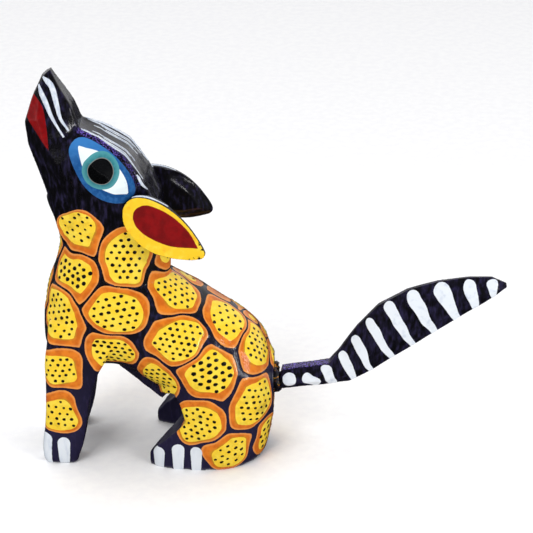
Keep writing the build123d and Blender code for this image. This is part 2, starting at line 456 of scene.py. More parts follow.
def shape_body(mesh):
    """Knife work: uneven cuts, the brow ridge over the eye, and the eye's own swell."""
    points, facing = coords(mesh), normals(mesh)
    along, off_axis = from_tail_axis(points)
    quiet = np.maximum(near_ears(points), 1 - ramp(off_axis, *BORE_QUIET))
    quiet = np.maximum(quiet, 1 - ramp(points[:, 2], *GROUND_QUIET))
    lift = uneven(points, *BODY_CUTS) * (1 - quiet)
    for side in SIDES:
        away = from_line(points, BROW_EDGE * (1, side, 1))
        lift += BROW_HEIGHT * np.exp(-(away / BROW_WIDTH)**2) * (1 - quiet)
        on_side = ramp(facing[:, 1] * side, 0.25, 0.6)
        depth = inside(points[:, [0, 2]], EYE_OUTLINE)
        lift += EYE_BULGE * ramp(depth, -0.5, 9.0) * on_side * (1 - quiet)
    points += facing * lift[:, None]
    wall = in_bore(along, off_axis, BORE_SHAPED)
    axis_places = TAIL_AXIS_POINT + along[:, None] * TAIL_AXIS
    outward = (points - axis_places) / np.maximum(off_axis, 1e-6)[:, None]
    points[wall] = (axis_places + outward * TAIL_BORE_RADIUS)[wall]
    set_coords(mesh, points)


def paint_body(mesh, patches):
    """Stores every painted shape, and raises the wood a little where the paint is thick."""
    points, facing = coords(mesh), normals(mesh)
    along, off_axis = from_tail_axis(points)
    orange, yellow, nearest = patch_fields(patches, points, facing)
    flat = points[:, [0, 2]]
    on_side = ramp(np.abs(facing[:, 1]), 0.18, 0.3) > 0.5
    on_snout = np.abs(points[:, 1]) > 0.8
    fields = {
        "orange": orange,
        "yellow": yellow,
        "tone": np.random.default_rng(5).uniform(0, 1, len(patches))[nearest],
        "eye": np.where(on_side, inside(flat, EYE_OUTLINE), UNPAINTED),
        "eye_white": np.where(on_side, inside(flat, EYE_WHITE), UNPAINTED),
        "iris": IRIS_RADIUS - np.linalg.norm(flat - IRIS_CENTRE, axis=1),
        "mouth": np.where(on_snout, inside(flat, MOUTH_OUTLINE), UNPAINTED),
        "toe": toe_field(points),
        # the brow field places the painted violet highlight glints along the ridge over each eye
        "brow": np.max([BROW_GLINT_REACH - from_line(points, BROW_EDGE * (1, side, 1)) for side in SIDES], 0),
        "raw": in_bore(along, off_axis, BORE_BARE),
    }
    write_fields(mesh, **fields)
    lift = sum(thick * ramp(fields[name], -PAINT_EDGE, PAINT_EDGE) for name, thick in PAINT_THICK.items())
    set_coords(mesh, points + facing * lift[:, None])


body = skin("coyote_body", "carved_body", "figure", voxel=0.56, passes=8)
shape_body(body.data)
patches = plan_patches(Surface(body.data))
paint_body(body.data, patches)
body_surface = Surface(body.data)


# ---- raised dots and strokes of paint
PAINT_ROOT = 0.3  # how far dots and strokes go down into the wood
DOT_SPACING = (3.0, 2.5)
DOT_PITCH = (0.86, 1.1)  # the spacing's own variation from patch to patch
DOT_JITTER = (0.14, 0.13)
ROW_TURN = 14  # degrees, either way
ROW_SHIFT = 0.15
ROW_REACH = 4  # rows are laid out this far past a patch
DOT_DROP = 12  # from here above the patch they come down onto the wood
DOT_MARGIN = 0.6
DOT_RADII = (0.64, 0.86)
DOT_LENGTHS = (1.0, 1.35)
DOT_SIZES = (0.85, 1.15)  # within one patch
DOT_ROUGH = (0.88, 1.12)
DOT_SIDES = 10
DOT_HEIGHT = 0.13
DOT_RINGS = [(1.0, -0.06), (0.62, DOT_HEIGHT * 0.8)]


def dot(surface, centre, patch, radius, long, rng):
    """A small uneven dome of thick paint that follows the wood under it."""
    points, faces = [], []
    rough = rng.uniform(*DOT_ROUGH, DOT_SIDES)
    for share, height in DOT_RINGS:
        for k in range(DOT_SIDES):
            angle = 2 * math.pi * k / DOT_SIDES
            flat = long * math.cos(angle) * patch.level + math.sin(angle) * patch.rise
            place, normal = surface.near(centre + radius * share * rough[k] * flat)
            points.append(place + normal * height)
    place, normal = surface.near(centre)
    points += [place + normal * DOT_HEIGHT, place - normal * PAINT_ROOT]
    for k in range(DOT_SIDES):
        after = (k + 1) % DOT_SIDES
        faces.append((k, after, DOT_SIDES + after, DOT_SIDES + k))
        faces.append((DOT_SIDES + k, DOT_SIDES + after, 2 * DOT_SIDES))
        faces.append((after, k, 2 * DOT_SIDES + 1))
    return points, faces


def dot_rows(patch, rng):
    """Places for a patch's dots, in rough rows that lean a little."""
    turn = math.radians(rng.uniform(-ROW_TURN, ROW_TURN))
    level = math.cos(turn) * patch.level + math.sin(turn) * patch.rise
    rise = math.cos(turn) * patch.rise - math.sin(turn) * patch.level
    pitch = np.array(DOT_SPACING) * rng.uniform(*DOT_PITCH)
    reach = max(patch.half_sizes) + ROW_REACH
    rows = int(reach / pitch[1]) + 1
    columns = int(reach / pitch[0]) + 1
    for row in range(-rows, rows + 1):
        shift = (row % 2) * 0.5 + rng.uniform(-ROW_SHIFT, ROW_SHIFT)
        for column in range(-columns, columns + 1):
            u = (column + shift) * pitch[0] + rng.normal(0, DOT_JITTER[0])
            v = row * pitch[1] + rng.normal(0, DOT_JITTER[1])
            yield patch.centre + u * level + v * rise


def make_dots(patches, surface):
    rng = np.random.default_rng(7)
    starts, owners = [], []
    for number, patch in enumerate(patches):
        for start in dot_rows(patch, rng):
            place, normal = surface.cast(start + patch.normal * DOT_DROP, -patch.normal)
            if place is not None:
                starts.append((place, normal))
                owners.append(number)
    places, facing = (np.array(column) for column in zip(*starts))
    _, yellow, nearest = patch_fields(patches, places, facing)
    parts = []
    radii = rng.uniform(*DOT_RADII, len(patches))
    lengths = rng.uniform(*DOT_LENGTHS, len(patches))
    for k, number in enumerate(owners):
        if nearest[k] != number or yellow[k] < DOT_MARGIN:
            continue
        radius = radii[number] * rng.uniform(*DOT_SIZES)
        parts.append(dot(surface, places[k], patches[number], radius, lengths[number], rng))
    return solid_mesh("coyote_dots", *joined(parts))


STROKE_STEPS = 12
STROKE_HEIGHT = 0.2
STROKE_SECTION = [(-1.0, -0.04), (-0.75, 0.7 * STROKE_HEIGHT), (0.0, STROKE_HEIGHT),
                  (0.75, 0.7 * STROKE_HEIGHT), (1.0, -0.04)]
STROKE_START = 0.35  # its width at its start and end, as shares of its fullest
STROKE_END = 0.4
STROKE_CALM = 4  # its facing is the mean of this many points each way


def stroke(surface, line, half_width):
    """A brushed stroke laid on the wood: full where the brush lands, and thinning to its end."""
    line = smooth_line(line, STROKE_STEPS)
    points = []
    last = len(line) - 1
    landed = [surface.near(start) for start in line]
    for k, (place, _) in enumerate(landed):
        normal = unit(sum(beside for _, beside in landed[max(k - STROKE_CALM, 0):k + STROKE_CALM + 1]))
        way = unit(line[min(k + 1, last)] - line[max(k - 1, 0)])
        across = unit(np.cross(normal, way))
        share = k / last
        width = half_width * min(1.0, STROKE_START + 5 * share)
        width *= 1 - (1 - STROKE_END) * ramp(share, 0.3, 1.0)
        for offset, lift in STROKE_SECTION:
            edge, out = surface.near(place + across * offset * width)
            points.append(edge + out * lift)
        points.append(place - normal * PAINT_ROOT)
    return points, tube_faces(len(line), len(STROKE_SECTION) + 1)


# Down the snout, and from the brow to the ear: half width, then x, y and z of each point.
SIDE_STROKES = [
    (1.1, [(-80.6, 2.4, 150.0), (-77.3, 4.1, 147.0), (-75.6, 5.6, 141.2), (-74.2, 6.8, 135.8),
           (-71.6, 7.1, 131.4)]),
    (1.0, [(-82.6, 2.4, 147.2), (-79.8, 5.4, 142.2), (-77.2, 6.9, 136.4), (-73.0, 8.4, 129.4)]),
    (0.6, [(-47.6, 10.3, 116.2), (-45.8, 10.9, 113.4), (-44.2, 10.9, 111.6), (-43.0, 10.4, 110.8)]),
]
# Over the brow, as seen from above: half width, then x and y of each point.
BROW_STROKES = [
    (0.62, [(-67.2, 5.7), (-61.2, 6.6), (-55.3, 7.9), (-50.4, 8.8), (-46.8, 9.3), (-45.2, 9.5)]),
    (0.36, [(-66.2, 5.1), (-59.6, 5.5), (-54.0, 6.4), (-49.4, 7.8)]),
    (0.32, [(-61.4, 4.6), (-56.0, 5.0), (-51.6, 6.0), (-47.6, 8.2)]),
    (0.30, [(-63.6, 2.4), (-57.6, 2.4), (-52.6, 2.9), (-48.4, 4.0)]),
    (0.25, [(-59.6, 3.3), (-54.6, 3.5), (-50.0, 4.5)]),
]


def make_strokes(surface):
    parts = []
    for side in SIDES:
        for half_width, line in SIDE_STROKES:
            parts.append(stroke(surface, np.array(line) * (1, side, 1), half_width))
        for half_width, spots in BROW_STROKES:
            line = [surface.cast((x, side * y, 2 * FAR), -UP)[0] for x, y in spots]
            parts.append(stroke(surface, line, half_width))
    return solid_mesh("coyote_strokes", *joined(parts))


dots = add_piece("coyote_dots", make_dots(patches, body_surface), "figure")
strokes = add_piece("coyote_strokes", make_strokes(body_surface), "figure")


# ---- ears
# The red leaf's x and z. The edges and the stroke are given along the ear and up across it.
EAR_LEAF = leaf([(-48.6, 101.0), (-48.2, 103.6), (-46.4, 105.8), (-42.4, 106.9), (-35.0, 104.1),
                 (-28.6, 98.6), (-24.8, 92.0)],
                [(-24.8, 92.0), (-35.0, 91.8), (-43.0, 94.4), (-47.2, 97.8), (-48.6, 101.0)])
EAR_ROOT = np.array((-51.0, 11.2, 103.2))
EAR_TIP = np.array((-21.0, 17.4, 88.6))
EAR_LENGTH = np.linalg.norm(EAR_TIP - EAR_ROOT)
EAR_LEAN = math.radians(5)
EAR_THICK = 3.4
EAR_RIM = 1.0  # the ear thins to this at its edge
EAR_BEVEL = 4.5
EAR_THINS = (8.0, 18.0)  # from its root, where the thinning starts and is full
EAR_TIP_WORN = 2.5  # this much of the tip is worn back, to at most the next
EAR_TIP_ROUND = 1.5
EAR_SPECKS = (-8.0, -4.0, 2.0)  # from the tip, where the rim's specks start and are full, and their depth
EAR_CUTS = (9, 61, 0.06)
EAR_BARE = (-2.6, -2.0)  # how deep in the head its wood is bare
EAR_UPPER_EDGE = [(-1.0, 1.0), (1.2, 7.4), (8.0, 9.9), (22.0, 7.8), (EAR_LENGTH, 0.0)]
EAR_LOWER_EDGE = [(EAR_LENGTH, 0.0), (21.5, -7.6), (11.0, -8.8), (2.6, -5.2), (-1.0, 1.0)]
EAR_STROKE = [(0.2, 6.0), (3.4, 9.2), (8.0, 9.9), (13.0, 9.7)]
EAR_STROKE_OUT = 2.0
EAR_STROKE_HALF_WIDTH = 0.75


class EarFrame:
    """The ear's own directions: along it from its root, up across it, and out of the head."""

    def __init__(self, side):
        mirror = np.array((1, side, 1))
        self.root = EAR_ROOT * mirror
        self.along = unit(EAR_TIP * mirror - self.root)
        out = np.array((0, side * math.cos(EAR_LEAN), -math.sin(EAR_LEAN)))
        self.out = unit(out - (out @ self.along) * self.along)
        self.over = np.cross(self.along, self.out) * side

    def local(self, points):
        away = points - self.root
        return np.stack([away @ self.along, away @ self.over, away @ self.out], -1)

    def place(self, along, over, out):
        return self.root + along * self.along + over * self.over + out * self.out


def make_ear(side, name, node, ear_body):
    """A carved ear: flat outside, and bevelled on its inner side to a thin rim."""
    piece = skin(name, node, ear_body, voxel=0.3, passes=6)
    ear_frame = EarFrame(side)
    points, facing = coords(piece.data), normals(piece.data)
    local = ear_frame.local(points)
    depth = inside(local[:, :2], leaf(EAR_UPPER_EDGE, EAR_LOWER_EDGE))
    past_root = ramp(local[:, 0], *EAR_THINS)
    thin = (1 - EAR_RIM / EAR_THICK) * (1 - ramp(depth, 0.0, EAR_BEVEL)) * past_root
    leaf_part = ramp(local[:, 2], -0.3, 0.0)
    points += ear_frame.out * ((EAR_THICK - local[:, 2]) * thin * leaf_part)[:, None]
    outer = facing @ ear_frame.out
    points += facing * uneven(points, EAR_CUTS)[:, None]
    past_tip = np.maximum(local[:, 0] - EAR_LENGTH + EAR_TIP_WORN, 0)
    points -= ear_frame.along * (past_tip - EAR_TIP_ROUND * np.tanh(past_tip / EAR_TIP_ROUND))[:, None]
    set_coords(piece.data, points)
    first_specks, all_specks, speck_depth = EAR_SPECKS
    write_fields(
        piece.data,
        outer=outer,
        leaf=inside(points[:, [0, 2]], EAR_LEAF),
        rim=depth + speck_depth * (1 - ramp(local[:, 0] - EAR_LENGTH, first_specks, all_specks)),
        raw=1 - ramp(local[:, 2], *EAR_BARE),
    )
    surface = Surface(piece.data)
    line = [ear_frame.place(along, over, EAR_STROKE_OUT) for along, over in EAR_STROKE]
    stroke_name = name + "_stroke"
    mesh = solid_mesh(stroke_name, *stroke(surface, np.array(line), EAR_STROKE_HALF_WIDTH))
    return piece, add_piece(stroke_name, mesh, ear_body)


ears, ear_strokes = zip(make_ear(-1, "coyote_ear_left", "ear_left", "left_ear"),
                        make_ear(1, "coyote_ear_right", "ear_right", "right_ear"))

# ---- tail
# Each white stroke: top x and z, foot x and z, and the radius at its top and its foot.
TAIL_STROKES = [
    (7.4, 30.0, 7.7, 29.6, 2.5, 2.4),
    (14.6, 30.6, 17.4, 29.2, 2.1, 1.8),
    (21.6, 34.2, 23.8, 29.2, 2.1, 1.6),
    (28.0, 39.6, 32.0, 30.8, 2.0, 1.2),
    (32.6, 46.6, 38.4, 34.4, 2.1, 1.0),
    (37.8, 53.8, 46.8, 38.6, 2.0, 1.1),
    (44.6, 60.6, 54.8, 43.8, 2.3, 1.1),
    (53.4, 65.0, 62.4, 49.4, 2.7, 1.2),
    (63.8, 68.2, 70.4, 55.4, 3.1, 1.1),
    (74.0, 69.6, 76.6, 60.4, 2.7, 1.1),
    (82.0, 70.6, 83.4, 65.4, 2.0, 0.9),
]
TAIL_TOP = np.array([(26.4, 42.0), (32.8, 52.0), (40.6, 61.0), (51.0, 67.4), (62.0, 71.0), (74.0, 73.0),
                     (82.0, 73.2), (87.5, 71.0)])
TAIL_TOP_NARROWING = 0.5
TAIL_TOP_DEPTH = 5.0
TAIL_CUTS = (14, 71, 0.08)
TAIL_SIDE = 0.4  # white stays on wood that faces sideways by more than this
TAIL_BARE = (-FAR, 14.0, 0.3)
TAIL_PAINT_THICK = 0.09
STUB_ENDS = (19.0, 25.0)


def make_tail():
    """The tail, whittled narrower towards its top edge, and its white strokes."""
    piece = skin("coyote_tail", "tail", "tail_leaf", voxel=0.36, passes=6)
    points, facing = coords(piece.data), normals(piece.data)
    points += facing * uneven(points, TAIL_CUTS)[:, None]
    near_top = 1 - ramp(from_line(points[:, [0, 2]], TAIL_TOP), 0.0, TAIL_TOP_DEPTH)
    points[:, 1] *= 1 - TAIL_TOP_NARROWING * near_top
    flat = points[:, [0, 2]] + np.stack([uneven(points, (7, seed, 0.22)) for seed in (72, 73)], 1)
    white = np.max([inside_drop(flat, row[:2], row[2:4], *row[4:]) for row in TAIL_STROKES], 0)
    white = np.minimum(white, 4 * (np.abs(facing[:, 1]) - TAIL_SIDE))
    along, off_axis = from_tail_axis(points)
    # painted highlight: violet glints on the up-facing top of the stub
    stub_top = ramp(facing[:, 2], 0.4, 0.8) * (1 - ramp(points[:, 0], *STUB_ENDS))
    write_fields(piece.data, white=white, stub_top=stub_top, raw=in_bore(along, off_axis, TAIL_BARE))
    set_coords(piece.data, points + facing * (TAIL_PAINT_THICK * ramp(white, -0.25, 0.25))[:, None])
    return piece


tail = make_tail()

# ---- the whittled dowel
DOWEL_SIDES = 18
DOWEL_RADIUS = 1.95
DOWEL_STEP = 0.8
DOWEL_FLATS = (0.95, 1.0)
DOWEL_END = 0.82  # its radius at its ends, as a share
DOWEL_CHAMFER = 0.7
DOWEL_SHORT = 0.4
DOWEL_SMEAR = 0.9  # paint this far each way from the joint


def make_dowel():
    """A dowel whittled by hand, with uneven flats and chamfered ends."""
    low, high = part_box("tail_peg")
    length = (high.x - low.x) / MM / TAIL_AXIS[0]
    middle = np.array((low + high) / 2) / MM
    rng = np.random.default_rng(9)
    flats = rng.uniform(*DOWEL_FLATS, DOWEL_SIDES)
    rings = int(length / DOWEL_STEP)
    ring = ring_round_axis(DOWEL_SIDES)
    points = []
    for k in range(rings + 1):
        share = k / rings
        end = min(share, 1 - share) * length
        radius = DOWEL_RADIUS * (DOWEL_END + (1 - DOWEL_END) * min(1.0, end / DOWEL_CHAMFER))
        centre = middle + TAIL_AXIS * (share - 0.5) * (length - DOWEL_SHORT)
        points += [centre + radius * flat * out for flat, (_, out) in zip(flats, ring)]
    mesh = solid_mesh("coyote_tail_dowel", points, tube_faces(rings + 1, DOWEL_SIDES))
    along, _ = from_tail_axis(coords(mesh))
    write_fields(mesh, smear=DOWEL_SMEAR - np.abs(along) + uneven(coords(mesh), (3, 74, 0.3)))
    piece = add_piece("coyote_tail_dowel", mesh, "tail_dowel")
    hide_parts("tail_peg")
    return piece


# ---- the ragged paint round the tail's joint
COLLAR_INNER = 2.5
COLLAR_OUTER = 5.8
COLLAR_TOP = -0.12  # just short of the tail's flat end, along its axis
COLLAR_LIP = 0.9  # outside the end's corners it rises this much more
COLLAR_THINNEST = 0.2
COLLAR_DROP = 9  # where its points start down onto the rump
COLLAR_ROOT = 0.5
COLLAR_WAVES = [(3, 1, 0.35), (7, 2, 0.25), (13, 0, 0.15)]
TAIL_END_CORNERS = 4.8
COLLAR_STEPS = 48
COLLAR_RINGS = 6


def make_collar(surface):
    """Thick paint that squeezed out when the tail was pushed in, left in lumps on the rump."""
    bases, lifts = [], []
    for ring in range(COLLAR_RINGS):
        share = ring / (COLLAR_RINGS - 1)
        for angle, out in ring_round_axis(COLLAR_STEPS):
            ragged = sum(height * math.sin(count * angle + start) for count, start, height in COLLAR_WAVES)
            radius = COLLAR_INNER + (COLLAR_OUTER + ragged - COLLAR_INNER) * share
            place, _ = surface.cast(TAIL_AXIS_POINT + radius * out + COLLAR_DROP * TAIL_AXIS, -TAIL_AXIS)
            bases.append(place)
            lifts.append(math.sin(math.pi * (0.2 + 0.7 * share))**0.5)
    bases = np.array(bases)
    along, off_axis = from_tail_axis(bases)
    lumps = np.clip(0.85 + 0.25 * waves(bases, 1.7, 81), 0.3, 1.0)
    top = COLLAR_TOP + COLLAR_LIP * ramp(off_axis, TAIL_END_CORNERS, TAIL_END_CORNERS + 0.3)
    rise = np.maximum(top - along, COLLAR_THINNEST) * np.array(lifts) * lumps
    tops = bases + TAIL_AXIS * (rise - 0.05)[:, None]
    points = list(tops) + list(bases - COLLAR_ROOT * TAIL_AXIS)
    rings = [ring * COLLAR_STEPS for ring in range(COLLAR_RINGS)]
    rings += [len(tops) + ring for ring in reversed(rings)]
    faces = []
    for ring, beyond in zip(rings, rings[1:] + rings[:1]):
        for k in range(COLLAR_STEPS):
            after = (k + 1) % COLLAR_STEPS
            faces.append((ring + k, beyond + k, beyond + after, ring + after))
    return solid_mesh("coyote_tail_collar", points, faces)


dowel = make_dowel()
collar = add_piece("coyote_tail_collar", make_collar(body_surface), "figure")


# ---- materials
def srgb(red, green, blue):
    """A paint colour as it looks on a screen, 0 to 255, for a shader."""
    def linear(value):
        value /= 255
        return value / 12.92 if value < 0.04045 else ((value + 0.055) / 1.055)**2.4
    return (linear(red), linear(green), linear(blue), 1.0)


class Finish:
    """A node material, built up step by step."""

    def __init__(self, name):
        self.material = bpy.data.materials.new(name)
        self.material.use_nodes = True
        self.tree = self.material.node_tree
        self.shader = self.tree.nodes["Principled BSDF"]
        self.place = self.node("ShaderNodeTexCoord").outputs["Object"]

    def node(self, kind, **settings):
        node = self.tree.nodes.new(kind)
        for name, value in settings.items():
            setattr(node, name, value)
        return node

    def feed(self, socket, value):
        if isinstance(value, bpy.types.NodeSocket):
            self.tree.links.new(value, socket)
        else:
            socket.default_value = value

    def math(self, operation, first, second=0.0, clamp=False):
        node = self.node("ShaderNodeMath", operation=operation, use_clamp=clamp)
        self.feed(node.inputs[0], first)
        self.feed(node.inputs[1], second)
        return node.outputs[0]

    def field(self, name):
        return self.node("ShaderNodeAttribute", attribute_name=name).outputs["Fac"]

    def noise(self, size, detail=3.0, stretch=(1, 1, 1)):
        """Noise of about the given size in mm, drawn out along an axis whose stretch is below 1."""
        mapping = self.node("ShaderNodeMapping")
        self.feed(mapping.inputs["Vector"], self.place)
        mapping.inputs["Scale"].default_value = stretch
        noise = self.node("ShaderNodeTexNoise")
        self.feed(noise.inputs["Vector"], mapping.outputs["Vector"])
        noise.inputs["Scale"].default_value = 1 / (size * MM)
        noise.inputs["Detail"].default_value = detail
        return noise.outputs["Fac"]

    def ramp(self, value, low, high):
        """0 to 1 as the value goes from low to high."""
        node = self.node("ShaderNodeMapRange", interpolation_type="SMOOTHSTEP")
        self.feed(node.inputs["Value"], value)
        node.inputs["From Min"].default_value = low
        node.inputs["From Max"].default_value = high
        return node.outputs["Result"]

    def mix(self, share, first, second):
        node = self.node("ShaderNodeMix", data_type="RGBA")
        self.feed(node.inputs[0], share)
        self.feed(node.inputs[6], first)
        self.feed(node.inputs[7], second)
        return node.outputs[2]

    def edge(self, field, wobble=0.12, soft=0.05):
        """1 inside a painted shape, with the shaky edge of a hand-held brush."""
        shaky = self.span(self.noise(1.1, 2.0), -wobble, wobble)
        return self.ramp(self.math("ADD", field, shaky), -soft, soft)

    def tones(self, first, second, size, low=0.35, high=0.65, stretch=(1, 1, 1)):
        return self.mix(self.ramp(self.noise(size, 4.0, stretch), low, high), first, second)

    def total(self, *terms):
        result = terms[0]
        for term in terms[1:]:
            result = self.math("ADD", result, term)
        return result

    def times(self, value, factor):
        return self.math("MULTIPLY", value, factor)

    def rest(self, value):
        """What is left of 1."""
        return self.math("SUBTRACT", 1.0, value, clamp=True)

    def span(self, value, low, high):
        """Takes 0 to 1 to low to high."""
        result = self.math("MULTIPLY_ADD", value, high - low)
        result.node.inputs[2].default_value = low
        return result

    def finish(self, colour, roughness, height, depth, coat=0.0, coat_roughness=0.2, specular=0.5):
        """Colour, roughness and a height in shares of the depth in mm; the rest is the same all over."""
        self.feed(self.shader.inputs["Base Color"], colour)
        self.feed(self.shader.inputs["Roughness"], roughness)
        same = {"Specular IOR Level": specular, "Coat Weight": coat, "Coat Roughness": coat_roughness}
        for name, value in same.items():
            self.shader.inputs[name].default_value = value
        bump = self.node("ShaderNodeBump")
        self.feed(bump.inputs["Height"], height)
        bump.inputs["Distance"].default_value = depth * MM
        bump.inputs["Strength"].default_value = 1.0
        self.feed(self.shader.inputs["Normal"], bump.outputs["Normal"])
        self.feed(self.shader.inputs["Coat Normal"], bump.outputs["Normal"])
        return self.material


INDIGO = srgb(46, 41, 76)
BLACK = srgb(8, 7, 11)
# the violet of the painted highlight glints
GLINT_VIOLET = srgb(112, 92, 190)
ORANGE = srgb(230, 128, 30)
DEEP_ORANGE = srgb(208, 104, 22)
PALE_ORANGE = srgb(246, 172, 92)
YELLOW = srgb(250, 208, 48)
PALE_YELLOW = srgb(251, 220, 70)
OLIVE = srgb(176, 146, 30)
SKY = srgb(58, 124, 190)
# the eye ring's blue, painted as in shade low down
SHADED_BLUE = srgb(12, 74, 136)
TEAL = srgb(78, 152, 158)
DEEP_TEAL = srgb(40, 112, 122)
EYE_WHITE_PAINT = srgb(236, 246, 248)
PUPIL = srgb(4, 5, 6)
PUPIL_RIM = srgb(120, 124, 120)
RED = srgb(140, 2, 6)
DEEP_RED = srgb(118, 1, 4)
WHITE = srgb(230, 236, 242)
GREY_WHITE = srgb(196, 206, 222)
EAR_YELLOW = srgb(252, 204, 34)
WOOD = srgb(224, 190, 142)
DARK_WOOD = srgb(190, 146, 96)
DOT_BROWN = srgb(34, 28, 20)
LEGS_INDIGO = (8 * MM, 75 * MM)  # heights between which the indigo fades upwards
EYE_PAINTED_LIGHT = (118 * MM, 130 * MM)  # and between which the eye's ring is painted lighter upwards, as painted light where it turns to the brow


def wood_colour(finish):
    return finish.tones(WOOD, DARK_WOOD, 1.2, 0.4, 0.7, stretch=(0.08, 1, 1))


def with_bare_wood(finish, colour):
    return finish.mix(finish.ramp(finish.field("raw"), 0.4, 0.6), colour, wood_colour(finish))


def brush_marks(finish):
    """Fine ridges that the bristles leave, in two directions."""
    level = finish.noise(0.45, 2.0, stretch=(0.16, 1, 1))
    upright = finish.noise(0.5, 2.0, stretch=(1, 1, 0.14))
    return finish.times(finish.math("ADD", level, upright), 0.5)


def dark_paint(finish, low=0.45):
    """Black over indigo, which shows through in streaks where the black is thin."""
    return finish.tones(BLACK, INDIGO, 1.3, low, 0.85, stretch=(1, 1, 0.3))


def painted_glints(finish, colour, share):
    """Violet specks painted along an edge as highlight glints on the black."""
    glint_specks = finish.times(share, finish.ramp(finish.noise(0.6, 2.0), 0.48, 0.6))
    return finish.mix(finish.times(glint_specks, 0.8), colour, GLINT_VIOLET)


def body_finish():
    paint = Finish("body_paint")
    place = paint.node("ShaderNodeSeparateXYZ")
    paint.feed(place.inputs[0], paint.place)
    on_legs = paint.rest(paint.ramp(place.outputs["Z"], *LEGS_INDIGO))
    colour = paint.mix(paint.times(on_legs, 0.6), dark_paint(paint), INDIGO)

    orange = paint.edge(paint.field("orange"))
    yellow_depth = paint.field("yellow")
    yellow = paint.edge(yellow_depth)
    ring = paint.tones(ORANGE, DEEP_ORANGE, 3.0)
    pale_rim = paint.rest(paint.ramp(paint.field("orange"), 0.15, 0.9))
    ring = paint.mix(paint.times(pale_rim, 0.55), ring, PALE_ORANGE)
    shadow = paint.times(paint.ramp(yellow_depth, -0.9, -0.05), paint.ramp(paint.noise(5.0), 0.42, 0.62))
    ring = paint.mix(paint.times(shadow, 0.6), ring, OLIVE)
    colour = paint.mix(orange, colour, ring)
    centre = paint.tones(YELLOW, PALE_YELLOW, 3.5)
    # darker olive clouds on some yellow patches, laid at random
    olive_clouding = paint.times(paint.ramp(paint.noise(6.0, 3.0), 0.5, 0.75), paint.field("tone"))
    centre = paint.mix(paint.times(olive_clouding, 0.6), centre, OLIVE)
    colour = paint.mix(yellow, colour, centre)

    # painted highlight: violet glints along the brow ridge
    colour = painted_glints(paint, colour, paint.ramp(paint.field("brow"), 0.0, 0.8))
    eye = paint.edge(paint.field("eye"))
    # painted light and shade: the eye's ring lighter towards its top, darker below
    upper = paint.ramp(place.outputs["Z"], *EYE_PAINTED_LIGHT)
    blue = paint.mix(upper, SHADED_BLUE, SKY)
    blue = paint.mix(paint.times(paint.ramp(paint.noise(1.4, 3.0), 0.4, 0.65), 0.35), blue, SKY)
    rim = paint.rest(paint.ramp(paint.field("eye"), 0.2, 3.0))
    blue = paint.mix(paint.times(rim, 0.15), blue, SKY)
    colour = paint.mix(eye, colour, blue)
    colour = paint.mix(paint.edge(paint.field("eye_white"), 0.06), colour,
                       paint.tones(EYE_WHITE_PAINT, GREY_WHITE, 2.0, 0.55, 0.9))
    iris_depth = paint.field("iris")
    iris = paint.edge(iris_depth, 0.05)
    iris_colour = paint.mix(paint.ramp(iris_depth, 0.1, 2.2), TEAL, DEEP_TEAL)
    iris_colour = paint.mix(paint.times(paint.ramp(paint.noise(1.2), 0.4, 0.7), 0.5), iris_colour, TEAL)
    colour = paint.mix(paint.times(iris, eye), colour, iris_colour)
    pupil_edge = IRIS_RADIUS - PUPIL_RADIUS
    colour = paint.mix(paint.ramp(iris_depth, pupil_edge - 0.28, pupil_edge - 0.18), colour, PUPIL_RIM)
    pupil = paint.ramp(iris_depth, pupil_edge, pupil_edge + 0.1)
    colour = paint.mix(paint.times(pupil, eye), colour, PUPIL)

    mouth = paint.edge(paint.field("mouth"))
    colour = paint.mix(mouth, colour, paint.tones(RED, DEEP_RED, 2.5))
    toe = paint.edge(paint.field("toe"), 0.1)
    colour = paint.mix(toe, colour, paint.tones(WHITE, GREY_WHITE, 2.6, 0.45, 0.8, stretch=(1, 1, 0.3)))
    colour = with_bare_wood(paint, colour)

    marks = brush_marks(paint)
    grain = paint.noise(0.7, 3.0, stretch=(1, 1, 0.06))
    height = paint.total(paint.times(orange, 0.35), paint.times(yellow, 0.25), paint.times(eye, 0.3),
                         paint.times(toe, 0.3), paint.times(marks, 0.5), paint.times(grain, 0.3))
    roughness = paint.span(paint.ramp(paint.noise(4.0), 0.2, 0.8), 0.34, 0.50)
    return paint.finish(colour, roughness, height, 0.11, coat=0.9, coat_roughness=0.09, specular=0.12)


def stroke_finish():
    paint = Finish("stroke_paint")
    colour = paint.tones(WHITE, GREY_WHITE, 1.0, 0.3, 0.65, stretch=(1, 1, 0.3))
    height = paint.noise(0.3, 3.0, stretch=(1, 1, 0.3))
    return paint.finish(colour, 0.4, height, 0.05, coat=0.3)


def dot_finish():
    paint = Finish("dot_paint")
    colour = paint.tones(BLACK, DOT_BROWN, 0.8, 0.5, 0.8)
    return paint.finish(colour, 0.35, paint.noise(0.3), 0.03, coat=0.4, coat_roughness=0.12)


def ear_finish():
    paint = Finish("ear_paint")
    colour = dark_paint(paint)
    outer = paint.ramp(paint.field("outer"), 0.6, 0.75)
    yellow = paint.tones(EAR_YELLOW, PALE_YELLOW, 3.0, 0.45, 0.8)
    yellow = paint.mix(paint.times(paint.ramp(paint.noise(3.5), 0.55, 0.8), 0.35), yellow, ORANGE)
    colour = paint.mix(outer, colour, yellow)
    leaf_shape = paint.times(paint.edge(paint.field("leaf"), 0.1), outer)
    colour = paint.mix(leaf_shape, colour, paint.tones(RED, DEEP_RED, 4.0))
    at_rim = paint.rest(paint.ramp(paint.field("rim"), 0.1, 1.0))
    worn = paint.times(at_rim, paint.ramp(paint.noise(0.9, 3.0), 0.5, 0.58))
    colour = paint.mix(worn, colour, BLACK)
    colour = with_bare_wood(paint, colour)
    height = paint.total(paint.times(leaf_shape, 0.5), paint.times(outer, 0.5), brush_marks(paint))
    return paint.finish(colour, 0.45, height, 0.08, coat=0.6, coat_roughness=0.15, specular=0.12)


